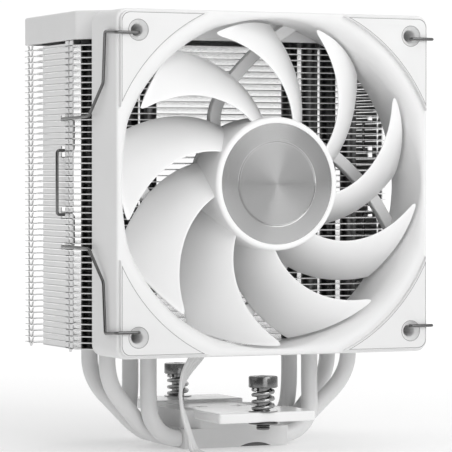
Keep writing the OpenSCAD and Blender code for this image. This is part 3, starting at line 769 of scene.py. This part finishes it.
def blade_sweep(r):
    """Degrees by which the leading edge runs ahead of its root at radius r."""
    return 1.03 * (r - HUB_R) + 0.0075 * (r - HUB_R) ** 2


def blade_span(r):
    """Degrees from a blade's leading edge to its trailing one at radius r."""
    return 27 + 0.0127 * (r - 39) ** 2


def tip_rounding(r):
    """Degrees by which the leading edge falls back to round the blade's outer corner."""
    share = max(0, (r - TIP_R + TIP_ROUND) / TIP_ROUND)
    return math.degrees(TIP_ROUND / TIP_R) * (1 - math.sqrt(max(0, 1 - share ** 2)))


def blade_ring(r, turn, steps=20):
    """One section of a blade at radius r: an aerofoil that is round at both ends."""
    share = (r - HUB_R) / (TIP_R - HUB_R)
    thick = 2.1 - 0.6 * share + 1.6 * math.exp(-max(r - HUB_R, 0) / 1.2)
    lead = turn + BLADE_PHASE + blade_sweep(r)
    over, under = [], []
    for way in shares(steps):
        t = (1 - math.cos(math.pi * way)) / 2
        half = thick / 2 * math.sin(math.pi * way) ** 0.75 * (1.12 - 0.35 * t)
        angle = lead - blade_span(r) * t - tip_rounding(r) * (1 - t)
        depth = BLADE_FRONT - (BLADE_FRONT - BLADE_BACK) * (t - 0.1 * math.sin(math.pi * t))
        over.append(polar(r, angle, depth + half))
        under.append(polar(r, angle, depth - half))
    return over + under[-2:0:-1]


def blade(turn):
    """A blade from inside the hub to its tip, with rounded corners and a thinned edge."""
    steps, root_r = 26, HUB_R - 0.5
    radii = [root_r + (TIP_R - TIP_ROUND - root_r) * t ** 1.05 for t in shares(steps)]
    radii += [TIP_R - TIP_ROUND * (1 - math.sin(t)) for t in (0.25, 0.5, 0.75, 1, 1.2)]
    rings = [blade_ring(r, turn) for r in radii]
    for r, grow in ((TIP_R - 0.1, 0.9), (TIP_R, 0.6)):
        ring = blade_ring(r, turn)
        thin = []
        for i, p in enumerate(ring):
            partner = ring[-i % len(ring)]
            centre = (p + partner) / 2
            thin.append(centre + (p - centre) * grow)
        rings.append(thin)
    return loft(rings)


def make_impeller():
    rim_front, hub_back, hub_front = -impeller_low.y, -impeller_high.y, -badge_high.y
    rim = 1.3
    profile = [(21.4, hub_back), (HUB_R - 0.4, hub_back), (HUB_R, hub_back + 0.4), (HUB_R, rim_front - rim)]
    profile += arc((HUB_R - rim, rim_front - rim), rim, 15, 130, 8)
    profile += [(22.3, hub_front + 0.3), (22.2, hub_front), (0.5, hub_front),
                (0.5, hub_front - 1.5), (20.6, hub_front - 1.6), (21.4, hub_front - 2.6)]
    hub = spun(profile, 144, closed=True)
    boss_back, boss_front = FRAME_BACK + 19, hub_front - 1.2
    boss = spun([(1.5, boss_back), (4, boss_back), (4, boss_front), (1.5, boss_front)], 48, True)
    blades = [blade(360 / BLADES * k) for k in range(BLADES)]
    obj = mesh_piece("impeller_blades", joined(hub, boss, *blades), 40)
    dress(obj, BLADE_WHITE, "fan_rotor", "white_impeller", "impeller")


def make_badge():
    """A plain spun disc with one turned ring."""
    back, front = -badge_high.y, -badge_low.y
    r = 22.1
    inner = 14.7
    profile = [(0.001, front - 0.1), (inner - 0.5, front - 0.1), (inner - 0.15, front - 0.05),
               (inner, front - 0.22), (inner + 0.15, front - 0.03), (inner + 0.4, front),
               (r - 0.35, front), (r - 0.08, front - 0.12), (r, front - 0.3), (r, back)]
    obj = mesh_piece("hub_disc", spun(profile, 180), 50)
    dress(obj, BADGE_METAL, "fan_rotor", "spun_badge", "hub_badge")
    flatten(obj)


make_impeller()
make_badge()

# ---- fin stack and cover ----

STACK_HALF = fin_high.x
STACK_FRONT_Y = fin_low.y
STACK_REAR = fin_high.y
CHAMFER = 10.5
FIN_COUNT = 50
FIN_PITCH = 2.18
FIN_T = 0.4
FIN_Z0 = fin_high.z - 0.05 - FIN_COUNT * FIN_PITCH
WALL_END_Y = 18.7
LOCKS_Y = ((-11, -4), (29, 35.1))
OPEN_Y = (WALL_END_Y, 29)
TAB_T = 0.4
TAB_GAP = 0.16
RECESS = 1.2
EDGE_STRIP = 3
LEG_X = (32, 47.9)
LEG_Y = (-9.5, 7.5)
PIPE_R = 3
CLIP_MID_Z = AXIS_Z + 0.4
CLIP_RUN_Z = 22.6
CLIP_GRIP_Z = 11.4
CLIP_SLOT_X = (56.8, STACK_HALF - 0.8)
CLIP_SLOT_Y = (-5.6, -1.3)
CLIP_WINDOW_Y = (-3.4, 0.4)


def fin_outline(opened):
    """A fin with its corners cut off and gaps in its sides, notched for a clip if it is opened."""
    w, c = STACK_HALF, CHAMFER
    inner = w - RECESS - EDGE_STRIP
    half = [(w - c, STACK_FRONT_Y), (w, STACK_FRONT_Y + c)]
    if opened:
        low, high = CLIP_WINDOW_Y
        half += [(w, low), (CLIP_SLOT_X[0], low), (CLIP_SLOT_X[0], high), (w, high)]
    half += [(w, OPEN_Y[0]), (inner, OPEN_Y[0]), (inner, OPEN_Y[1]), (w, OPEN_Y[1]),
             (w, STACK_REAR - 1), (w - 1, STACK_REAR)]
    return half + [(-x, y) for x, y in half[::-1]]


def fin_sheet(opened):
    holes = [[(sx * x + u, y + v) for u, v in round_section(PIPE_R + 0.12, 28)]
             for sx in (-1, 1) for x in LEG_X for y in LEG_Y]
    slot = rectangle(*CLIP_SLOT_X, *CLIP_SLOT_Y)
    slots = [] if opened else [[(sx * x, y) for x, y in slot] for sx in (-1, 1)]
    return plate([fin_outline(opened)] + holes + slots, 0, FIN_T, 0)


def bowed_strip(rise=0.45):
    """The free edge between the wall and the rear lock, bowed up a little by the folding."""
    x0, x1 = STACK_HALF - RECESS - EDGE_STRIP, STACK_HALF - RECESS
    rings = []
    for t in shares(10):
        lift = rise * math.sin(math.pi * t)
        y = OPEN_Y[0] + (OPEN_Y[1] - OPEN_Y[0]) * t
        rings.append([Vector((x0, y, lift * 0.2)), Vector((x1, y, lift)),
                      Vector((x1, y, lift + FIN_T)), Vector((x0, y, lift * 0.2 + FIN_T))])
    return loft(rings)


def folded_tab(y0, y1, height):
    """A side tab: round at the fold, leaning in slightly at its free edge."""
    w, t, lean = STACK_HALF, TAB_T, 0.06
    outer = [(w - 0.35, 0), (w - 0.1, 0.06), (w, 0.3), (w, height * 0.6), (w - lean, height)]
    inner = [(w - lean - t, height), (w - t, height * 0.6), (w - t, 0.3)]
    return loft([[Vector((x, y, z)) for x, z in outer + inner] for y in (y0, y1)])


def split_tab(y0, y1, height, foot, head, strip=None):
    """A lock's tab, split by a gap that widens from foot to head; strip keeps that much on each side."""
    w, middle = STACK_HALF, (y0 + y1) / 2
    shapes = []
    for side, far in ((-1, y0), (1, y1)):
        low, high = middle + side * foot, middle + side * head
        ends = (low + side * strip, high + side * strip) if strip else (far, far)
        outline = [(low, 0.1), (ends[0], 0.1), (ends[1], height), (high, height)]
        shapes.append(loft([[Vector((x, y, z)) for y, z in outline] for x in (w - TAB_T, w)]))
    return joined(*shapes)


def fin_sides(z, top, opened):
    """Tabs, locks and free edge of one side of one fin."""
    height = FIN_PITCH - TAB_GAP
    wall_height = height - (0.9 if top else 0)
    wall_y = LOCKS_Y[0][1] + 0.05
    wall = [(wall_y, CLIP_WINDOW_Y[0]), (CLIP_WINDOW_Y[1], WALL_END_Y)] if opened else [(wall_y, WALL_END_Y)]
    shapes = [bowed_strip()] + [folded_tab(y0, y1, wall_height) for y0, y1 in wall]
    shapes.append(split_tab(*LOCKS_Y[0], height, 0.15, 0.8))
    shapes.append(split_tab(*LOCKS_Y[1], height, 0.5, 1.7, 1.1))
    side = joined(*shapes)
    flipped = moved(side, lambda p: Vector((-p.x, p.y, p.z)))
    return shifted(joined(side, flipped), 0, 0, z)


def meets_clip(low, high, room=0.65):
    """Whether a clip wire passes between two heights, with some room round it."""
    turns = [CLIP_MID_Z + side * z for z in (CLIP_RUN_Z, CLIP_GRIP_Z) for side in (-1, 1)]
    return any(low < z + room and high > z - room for z in turns)


def lock_hook(side, y):
    """The end of a lock column: a small hook below the lowest fin."""
    outline = [(y + 1, 0), (y + 4, 0), (y + 3.4, 1.15), (y + 2.2, 1.15)]
    inside = STACK_HALF - TAB_T
    return loft([[Vector((side * x, across, FIN_Z0 - down)) for across, down in outline]
                 for x in (STACK_HALF, inside)])


def make_fins():
    sheets = {opened: fin_sheet(opened) for opened in (False, True)}
    shapes = []
    for i in range(FIN_COUNT):
        z = FIN_Z0 + i * FIN_PITCH
        opened = meets_clip(z, z + FIN_PITCH - 0.05)
        shapes.append(shifted(sheets[opened], 0, 0, z))
        shapes.append(fin_sides(z, i == FIN_COUNT - 1, opened))
    shapes += [lock_hook(side, y0) for y0, _ in LOCKS_Y for side in (-1, 1)]
    obj = mesh_piece("fin_stack", joined(*shapes), 25)
    dress(obj, FIN_WHITE, "cooler", "fin_white", "cooling_fins")
    # The fins' flat faces take the darker metal as painted shade between them; the edges keep the white coat.
    shade_faces(obj, FIN_FACE_SHADE, lambda face: abs(face.normal.z) > 0.9)


def cover_outline(inset=0.0):
    w, c = STACK_HALF - inset, CHAMFER - inset * 0.4
    front, rear = STACK_FRONT_Y + inset, STACK_REAR - inset
    half = [(w - c, front), (w, front + c), (w, rear - 1), (w - 1, rear)]
    return half + [(-x, y) for x, y in half[::-1]]


def make_cover():
    """A pressed cap: soft corners, a rolled top edge and a plain underside with a deep hollow."""
    wall, edge = 1.6, 0.8
    low, high = cover_low.z, cover_high.z

    def ring(inset, z):
        return [Vector((x, y, z)) for x, y in softened(cover_outline(inset), 0.9, 3)]

    rings = [ring(wall + 0.02, high - 2), ring(wall, low), ring(0.15, low), ring(0, low + 0.15),
             ring(0, high - edge)]
    rings += [ring(edge * (1 - math.cos(t)), high - edge * (1 - math.sin(t)))
              for t in quarter_turn(4)[1:]]
    obj = mesh_piece("cover_cap", loft(rings), 30)
    dress(obj, COVER_WHITE, "cooler", "cover_white", "top_cover")


make_fins()
make_cover()

# ---- heat pipes ----

PIPE_BASE_Z = 3.6
PIPE_END_Z = limits("front_outer_heat_pipe")[1].z - 1.2
BASE_ROWS_Y = (-10.8, -3.6, 3.6, 10.8)
OUTER = dict(leg_x=LEG_X[1], slope=47, run=12, bend=20, swing=28.8)
INNER = dict(leg_x=LEG_X[0], slope=60, run=0.5, bend=11, swing=20)


def half_pipe_line(reach, slope, run, bend):
    """From the middle outwards: flat run, bend, slope, bend and upright leg, as (out, up)."""
    a = math.radians(slope)
    start = reach - bend - run * math.cos(a)
    high = (start + run * math.cos(a), bend + run * math.sin(a))
    line = arc((start, bend), bend, -90, slope - 90, 12)
    low_end = Vector(line[-1])
    line += [tuple(low_end + run * k / 6 * Vector((math.cos(a), math.sin(a)))) for k in range(1, 6)]
    line += arc(high, bend, slope - 90, 0, 12)
    # The upright leg has short steps where it still swings, then one long one.
    line += [(reach, h) for h in range(12, 29, 2) if h > high[1]]
    return line + [(reach, PIPE_END_Z - PIPE_BASE_Z)]


def eased_share(t):
    """A share from 0 to 1 that starts and stops gently."""
    t = min(t, 1)
    return t * t * (3 - 2 * t)


def make_pipe(name, node, base_y, leg_y, leg_x, slope, run, bend, swing):
    """The pipe swings from its row in the base to its row in the fins as it rises by swing."""
    right = [Vector((x, base_y + (leg_y - base_y) * eased_share(z / swing), PIPE_BASE_Z + z))
             for x, z in half_pipe_line(leg_x, slope, run, bend)]
    left = [Vector((-p.x, p.y, p.z)) for p in right[::-1]]
    path = left + right
    obj = mesh_piece(name, tube(path, round_section(PIPE_R, 32), [Vector((0, 1, 0))] * len(path)), 60)
    cut_z = (FIN_Z0 + 0.2) * MM
    pipe = bmesh.new()
    pipe.from_mesh(obj.data)
    everything = pipe.verts[:] + pipe.edges[:] + pipe.faces[:]
    bmesh.ops.bisect_plane(pipe, geom=everything, plane_co=(0, 0, cut_z), plane_no=(0, 0, 1))
    pipe.to_mesh(obj.data)
    pipe.free()
    dress(obj, PIPE_WHITE, "cooler", "pipe_white", node)
    # Above the lowest fin the pipe takes the dark finish: painted shade for the inside of the fin stack.
    shade_faces(obj, DARK_STEEL_AND_SHADE, lambda face: face.center.z > cut_z)


make_pipe("pipe_front_outer", "front_outer_heat_pipe", BASE_ROWS_Y[1], LEG_Y[0], **OUTER)
make_pipe("pipe_front_inner", "front_inner_heat_pipe", BASE_ROWS_Y[0], LEG_Y[0], **INNER)
make_pipe("pipe_rear_inner", "rear_inner_heat_pipe", BASE_ROWS_Y[3], LEG_Y[1], **INNER)
make_pipe("pipe_rear_outer", "rear_outer_heat_pipe", BASE_ROWS_Y[2], LEG_Y[1], **OUTER)

# ---- base and bracket ----

base_low, base_high = limits("base_block")
bracket_low, bracket_high = limits("mounting_bracket")
SCREW_Y = 38
SHOULDER_Z = 7.2
BLOCK_HALF_W = 20
BLOCK_CORNER = (6, 5)
NECK_HALF_W = 12.5
NECK_TOP_Z = bracket_high.z - 1
WING_IN_Y = 19.7
FIX_X = 8
NOTCH_X, NOTCH_R, NOTCH_H, NOTCH_DEPTH = 7.5, 15, 1.5, 1.4


def block_outline(half_w, half_d):
    cx, cy = BLOCK_CORNER
    quarter = [(half_w, -half_d + cy), (half_w, half_d - cy), (half_w - cx, half_d)]
    return quarter + [(-x, y) for x, y in quarter[::-1]] + [(cx - half_w, -half_d), (half_w - cx, -half_d)]


def make_base():
    """A block in two steps with the pipes' bores and a shallow notch at the foot of its front, whose faces
    are painted dark as shade.
    """
    w, d = base_high.x, base_high.y
    lower = plate([rounded_rectangle(-w, -d, w, d, 0.6)], base_low.z, SHOULDER_Z, 0.2)
    block = softened(block_outline(BLOCK_HALF_W, d - 0.02), 0.8, 3)
    upper = plate([block], SHOULDER_Z - 0.1, NECK_TOP_Z, 0.1)
    bores = [tube([Vector((-w - 1, y, PIPE_BASE_Z)), Vector((w + 1, y, PIPE_BASE_Z))],
                  round_section(PIPE_R + 0.1, 36), [Vector((0, 0, 1))] * 2) for y in BASE_ROWS_Y]
    arch = arc((NOTCH_X, NOTCH_H - NOTCH_R), NOTCH_R, 0, 180, 48)
    notch = loft([[Vector((x, y, z)) for x, z in arch] for y in (-d - 1, -d + NOTCH_DEPTH)])
    slab = mesh_piece("base_lower", lower)
    cut(slab, *bores, notch)
    top = mesh_piece("base_upper", upper)
    cut(top, bar(-NECK_HALF_W - 0.1, NECK_HALF_W + 0.1, -d - 1, d + 1, bracket_low.z, NECK_TOP_Z + 1))
    for piece in (slab, top):
        dress(piece, BASE_GREY, "cooler", "base_metal")
        flatten(piece)

    def in_notch(face):
        x, y, z = face.center / MM
        return 0.05 < y + d < NOTCH_DEPTH + 0.05 and 0.05 < z < NOTCH_H + 0.1 and abs(x - NOTCH_X) < 8

    # The notch's faces take the dark finish: painted shade.
    shade_faces(slab, DARK_STEEL_AND_SHADE, in_notch)
    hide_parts("base_block")


def make_bracket():
    """Two wings outside the block, joined by a thinner neck that lies flush in its channel."""
    low, top = bracket_low.z, bracket_high.z
    w, far = bracket_high.x, bracket_high.y
    shapes = []
    for side in (-1, 1):
        wing = [(-w, WING_IN_Y), (w, WING_IN_Y), (w, far - 0.6), (w - 0.6, far),
                (0.6 - w, far), (-w, far - 0.6)]
        hole = [(u, SCREW_Y + v) for u, v in round_section(2.6, 36)]
        shape = plate([softened(wing, 0.9, 4), hole], low, top, 0.6, 3)
        shapes.append(moved(shape, lambda p: Vector((p.x, p.y * side, p.z))))
    holes = [[(x + u, v) for u, v in round_section(3, 36)] for x in (-FIX_X, FIX_X)]
    neck = rounded_rectangle(-NECK_HALF_W, -WING_IN_Y - 0.8, NECK_HALF_W, WING_IN_Y + 0.8, 0.2)
    shapes.append(plate([neck] + holes, low + 0.02, NECK_TOP_Z, 0.15))
    countersink = [(3.2, NECK_TOP_Z - 0.1), (2.9, NECK_TOP_Z - 0.3), (1.6, NECK_TOP_Z - 1.6),
                   (1.6, low + 0.1)]
    shapes += [turned(countersink, (x, 0), 40) for x in (-FIX_X, FIX_X)]
    obj = mesh_piece("bracket_plate", joined(*shapes), 35)
    dress(obj, BRACKET_WHITE, "cooler", "bracket_white", "mounting_bracket")
    flatten(obj)


make_base()
make_bracket()

# ---- screws, springs and washers ----

screw_low, screw_high = limits("front_mounting_screw")
SHANK_R = 2.3
STUD_R = 2.5
GROOVE_R = 1.9
WASHER_R = 5.2
HEAD_R = 5.15
HEAD_H = 4
RING_Z = [corner.z for corner in limits("front_retaining_clip")]


def thread(r, low, high, pitch=0.7, depth=0.3):
    """Ridges of a thread as a profile of (radius, z), from the top down."""
    points = []
    count = int((high - low) / pitch)
    for k in range(count):
        z = high - k * pitch
        points += [(r, z), (r - depth, z - pitch / 2)]
    return points + [(r, high - count * pitch), (r - depth, low)]


def cross_recess(at, top, reach, depth, half_w=0.62):
    """Cutters for a cross-head screw's recess: two tapered slots."""
    shapes = []
    for long_x in (True, False):
        rings = []
        for z, s in ((top + 0.5, 1.05), (top - depth, 0.6)):
            u, v = (reach * s, half_w * s) if long_x else (half_w * s, reach * s)
            rings.append([Vector((at[0] + x, at[1] + y, z)) for x, y in ((u, v), (-u, v), (-u, -v), (u, -v))])
        shapes.append(loft(rings))
    return shapes


def make_screw(where, y):
    head_low = screw_high.z - HEAD_H
    groove_low, groove_high = RING_Z[0] - 0.07, RING_Z[1] + 0.07
    profile = [(0.001, screw_high.z), (HEAD_R - 0.45, screw_high.z), (HEAD_R - 0.12, screw_high.z - 0.12),
               (HEAD_R, screw_high.z - 0.45), (HEAD_R, head_low + 0.3), (HEAD_R - 0.3, head_low),
               (SHANK_R + 0.05, head_low), (SHANK_R, head_low - 0.05), (SHANK_R, groove_high),
               (GROOVE_R, groove_high), (GROOVE_R, groove_low)]
    profile += thread(STUD_R, screw_low.z + 0.3, groove_low) + [(0.001, screw_low.z)]
    obj = mesh_piece(where + "_screw_turned", turned(profile, (0, y), 72), 35)
    cut(obj, *cross_recess((0, y), screw_high.z, 2.6, 1.8), sharp=35)
    dress(obj, NICKEL, where + "_screw", "nickel", where + "_mounting_screw")


def make_spring(where, y):
    """A compression spring with its end turns closed and lying flat."""
    r, wire, turns, steps = 3.5, 0.7, 3.4, 36
    low, high = spring_low.z + wire, spring_high.z - wire
    path = []
    for k in range(round(turns * steps) + 1):
        t = k / (turns * steps)
        # The end turns rise by little, so that they lie closed.
        rise = 0.06 * t + 0.94 * min(max((t - 0.11) / 0.78, 0), 1)
        a = 2 * math.pi * (turns * t + 0.15)
        path.append(Vector((r * math.cos(a), y + r * math.sin(a), low + (high - low) * rise)))
    coil = tube(path, round_section(wire, 12), [Vector((0, 0, 1))] * len(path))
    obj = mesh_piece(where + "_spring_coil", coil, 50)
    dress(obj, SPRING_STEEL, "cooler", "spring_steel", where + "_screw_spring")
    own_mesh(obj)


def make_retainer(where, y):
    """An open ring that snaps into the screw's groove."""
    outer = arc((0, y), WASHER_R, 106, 434, 40)
    inner = arc((0, y), GROOVE_R + 0.06, 425, 115, 30)
    obj = mesh_piece(where + "_clip_ring", plate([outer + inner], *RING_Z, 0.08, 1), 35)
    dress(obj, DARK_STEEL_AND_SHADE, where + "_screw_slider", "dark_clip", where + "_retaining_clip")


def make_washers():
    low, high = limits("spring_washers")
    r, bore = WASHER_R, 2.65
    profile = [(bore, low.z), (r - 0.1, low.z), (r, low.z + 0.1), (r, high.z - 0.1), (r - 0.1, high.z),
               (bore, high.z)]
    shapes = [turned(profile, (0, y), 56, True) for y in (-SCREW_Y, SCREW_Y)]
    obj = mesh_piece("washer_pair", joined(*shapes), 35)
    dress(obj, SPRING_STEEL, "cooler", "steel", "spring_washers")


def make_bracket_screws():
    low, high = limits("bracket_screws")
    profile = [(0.001, high.z), (2.55, high.z), (2.85, high.z - 0.12), (2.85, high.z - 0.3),
               (1.25, high.z - 1.5), (1.2, low.z), (0.001, low.z)]
    shapes = [turned(profile, (x, 0), 40) for x in (-FIX_X, FIX_X)]
    obj = mesh_piece("bracket_fixings", joined(*shapes), 35)
    for x in (-FIX_X, FIX_X):
        cut(obj, *cross_recess((x, 0), high.z, 1.5, 0.9), sharp=35)
    dress(obj, BRACKET_WHITE, "cooler", "bracket_white", "bracket_screws")
    flatten(obj)


for where, y in (("front", -SCREW_Y), ("rear", SCREW_Y)):
    make_screw(where, y)
    make_spring(where, y)
    make_retainer(where, y)
make_washers()
make_bracket_screws()

# ---- fan clips ----

CLIP_ROUTE = [
    (52.5, -49.6, 51.1), (52.5, -50.8, 51.1), (61, -50.8, 51.1), (61, -40.5, 51.8), (61.1, -39, 34.2),
    (62.3, -28.5, CLIP_RUN_Z + 0.3), (62.45, -2.5, CLIP_RUN_Z), (57.95, -2.5, CLIP_RUN_Z),
    (57.95, -2.5, CLIP_GRIP_Z), (64.1, -2.5, CLIP_GRIP_Z),
]
WIRE_R = 0.55


def make_clip(name, node, side, body):
    upper = [Vector((side * x, y, CLIP_MID_Z + z)) for x, y, z in CLIP_ROUTE]
    lower = [Vector((side * x, y, CLIP_MID_Z - z)) for x, y, z in CLIP_ROUTE[::-1]]
    path = eased(upper + lower, 1.1, 6)
    obj = mesh_piece(name, tube(path, round_section(WIRE_R, 14)), 60)
    dress(obj, CLIP_STEEL, body, "clip_wire", node)


make_clip("clip_wire_left", "left_fan_clip", -1, "left_clip")
make_clip("clip_wire_right", "right_fan_clip", 1, "right_clip")

# ---- connector ----


def make_connector():
    """The plug of a four-way fan connector, with a keyway along its top."""
    low, high = limits("cable_connector")
    body = plate([rounded_rectangle(low.x, low.y, high.x, high.y, 0.5)], low.z, high.z, 0.25)
    obj = mesh_piece("connector_shell", body)
    middle = (low + high) / 2
    half, pitch = 0.9, 2.54
    sockets = []
    for i in range(4):
        x = middle.x + (i - 1.5) * pitch
        sockets.append(bar(x - half, x + half, low.y - 1, high.y + 1, middle.z - half, middle.z + half))
    key = bar(middle.x - 2, middle.x + 2, high.y - 3, high.y + 1, high.z - 0.8, high.z + 1)
    cut(obj, joined(*sockets), key)
    dress(obj, CONNECTOR_WHITE, "cooler", "connector_white", "cable_connector")
    return obj


connector = make_connector()

# ---- pieces inside the fan keep their CAD shape ----

INSIDE = {
    "sleeve_bearing": BRONZE, "bearing_cap": FRAME_WHITE, "stator_core": LAMINATED,
    "stator_windings": COPPER, "fan_circuit_board": BOARD_GREEN, "strut_lead": CABLE_WHITE,
    "rotor_yoke": SPRING_STEEL, "rotor_magnet": FERRITE, "fan_shaft": SPRING_STEEL,
    "shaft_clip": DARK_STEEL_AND_SHADE, "connector_contacts": CONTACT_TIN,
}
for node, finish in INSIDE.items():
    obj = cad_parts[node]
    obj.data.materials.clear()
    obj.data.materials.append(finish.material)
